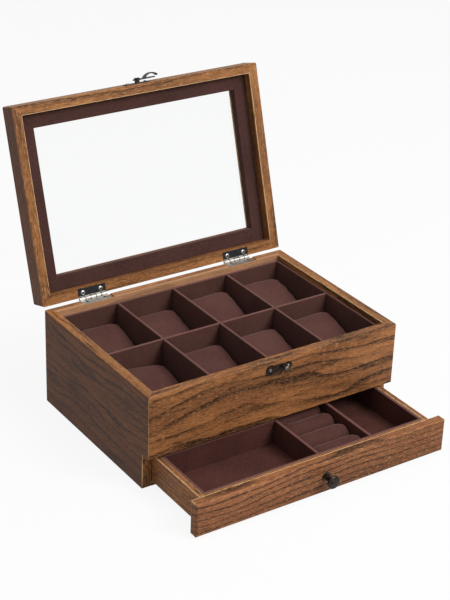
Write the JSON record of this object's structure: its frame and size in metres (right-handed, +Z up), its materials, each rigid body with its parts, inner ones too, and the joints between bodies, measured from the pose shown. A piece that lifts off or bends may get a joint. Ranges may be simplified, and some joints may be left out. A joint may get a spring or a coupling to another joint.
{
  "type": "watch box with drawer",
  "caption": "Wooden watch box with a glazed hinged lid, pillow compartments and a jewellery drawer below.",
  "frame": {"origin": "middle of the case's underside", "axes": "+Z up, -Y towards the drawer's knob, +X to the right seen from the front"},
  "size_m": [0.285, 0.3769, 0.3007],
  "materials": {
    "wood": "rustic, oiled satin",
    "velvet": "short-pile velvet",
    "pillow_velvet": "soft velvet over foam",
    "nickel": "bright nickel",
    "dark_steel": "blackened",
    "bronze": "antique dark bronze",
    "glass": "clear"
  },
  "bodies": {
    "case": {"front_board": "wood", "back_panel": "wood", "left_side_panel": "wood", "right_side_panel": "wood", "base_board": "wood", "tray_floor": "wood", "tray_floor_lining": "velvet", "front_tray_lining": "velvet", "back_tray_lining": "velvet", "left_tray_lining": "velvet", "right_tray_lining": "velvet", "long_divider": "velvet", "cross_divider_1": "velvet", "cross_divider_2": "velvet", "cross_divider_3": "velvet", "left_hinge_lower_leaf": "nickel", "right_hinge_lower_leaf": "nickel", "lower_hinge_screws": "nickel", "hinge_pins": "nickel", "catch_plate": "bronze", "catch_stud": "bronze", "catch_nails": "bronze"},
    "lid": {"lid_front_rail": "wood", "lid_back_rail": "wood", "lid_left_rail": "wood", "lid_right_rail": "wood", "lid_trim": "velvet", "glass_pane": "glass", "left_hinge_upper_leaf": "dark_steel", "right_hinge_upper_leaf": "dark_steel", "upper_hinge_screws": "nickel", "latch_plate": "bronze", "latch_nails": "bronze", "latch_rivet": "bronze"},
    "hook": {"latch_hook": "bronze"},
    "drawer": {"drawer_front": "wood", "drawer_inner_front": "wood", "drawer_back": "wood", "drawer_left_side": "wood", "drawer_right_side": "wood", "drawer_bottom": "wood", "drawer_floor_lining": "velvet", "drawer_side_linings": "velvet", "drawer_end_linings": "velvet", "drawer_divider_1": "velvet", "drawer_divider_2": "velvet", "drawer_cross_divider": "velvet", "ring_rolls": "pillow_velvet", "drawer_knob": "bronze", "drawer_knob_screw": "nickel"},
    "pillow_1": {"watch_pillow_1": "pillow_velvet"},
    "pillow_2": {"watch_pillow_2": "pillow_velvet"},
    "pillow_3": {"watch_pillow_3": "pillow_velvet"},
    "pillow_4": {"watch_pillow_4": "pillow_velvet"},
    "pillow_5": {"watch_pillow_5": "pillow_velvet"},
    "pillow_6": {"watch_pillow_6": "pillow_velvet"},
    "pillow_7": {"watch_pillow_7": "pillow_velvet"},
    "pillow_8": {"watch_pillow_8": "pillow_velvet"}
  },
  "joints": [
    {"name": "lid_hinge", "type": "hinge", "parent": "case", "child": "lid", "pos_m": [0, 0.1009, 0.1031], "axis": [-1, 0, 0], "range_deg": [-106.73, 0]},
    {"name": "latch_pivot", "type": "hinge", "parent": "lid", "child": "hook", "pos_m": [0.002, 0.16682, 0.29599], "axis": [0, 0.2879, 0.9577], "range_deg": [-75.34, 0]},
    {"name": "drawer_slide", "type": "slide", "parent": "case", "child": "drawer", "axis": [0, -1, 0], "range_m": [-0.0833, 0.06]},
    {"name": "pillow_lift_1", "type": "slide", "parent": "case", "child": "pillow_1", "axis": [0, 0, 1], "range_m": [0, 0.065]},
    {"name": "pillow_lift_2", "type": "slide", "parent": "case", "child": "pillow_2", "axis": [0, 0, 1], "range_m": [0, 0.065]},
    {"name": "pillow_lift_3", "type": "slide", "parent": "case", "child": "pillow_3", "axis": [0, 0, 1], "range_m": [0, 0.065]},
    {"name": "pillow_lift_4", "type": "slide", "parent": "case", "child": "pillow_4", "axis": [0, 0, 1], "range_m": [0, 0.065]},
    {"name": "pillow_lift_5", "type": "slide", "parent": "case", "child": "pillow_5", "axis": [0, 0, 1], "range_m": [0, 0.065]},
    {"name": "pillow_lift_6", "type": "slide", "parent": "case", "child": "pillow_6", "axis": [0, 0, 1], "range_m": [0, 0.065]},
    {"name": "pillow_lift_7", "type": "slide", "parent": "case", "child": "pillow_7", "axis": [0, 0, 1], "range_m": [0, 0.065]},
    {"name": "pillow_lift_8", "type": "slide", "parent": "case", "child": "pillow_8", "axis": [0, 0, 1], "range_m": [0, 0.065]}
  ]
}
